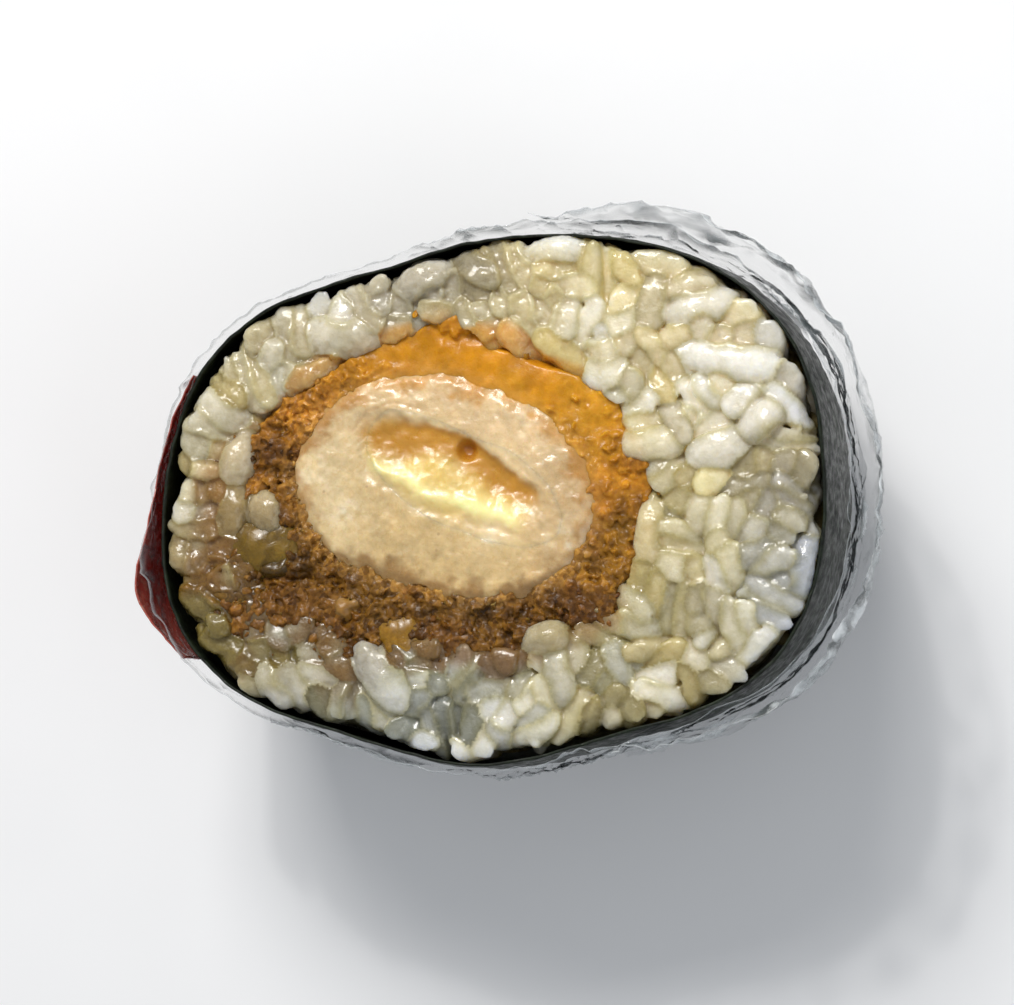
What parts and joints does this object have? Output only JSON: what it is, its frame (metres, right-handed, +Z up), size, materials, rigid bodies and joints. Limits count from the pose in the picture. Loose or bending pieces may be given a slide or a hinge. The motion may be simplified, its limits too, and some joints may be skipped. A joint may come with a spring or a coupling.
{
  "type": "onigirazu half",
  "caption": "Half of a cut rice sandwich wrapped in nori and cling film, standing cut face up to show rice round a crumbed cutlet with a melted cheese core.",
  "frame": {"origin": "middle of the overall footprint at the height of the resting face", "axes": "+Z up out of the cut face, +X along the wide side of the cut, +Y across it, away from the viewer"},
  "size_m": [0.0894, 0.0654, 0.044],
  "materials": {
    "rice": "moist, slightly translucent cooked rice",
    "coating": "moist fried breadcrumb, sauce-soaked below",
    "meat": "moist, fine-grained pale cutlet",
    "cheese": "soft melted cheese, glossy",
    "nori": "damp pressed seaweed, satin",
    "film": "clear crinkled cling film, glossy",
    "tape": "thin red plastic tape"
  },
  "bodies": {
    "root": {"rice": "rice", "coating": "coating", "meat": "meat", "cheese": "cheese", "nori": "nori", "film": "film", "tape": "tape"}
  },
  "joints": []
}
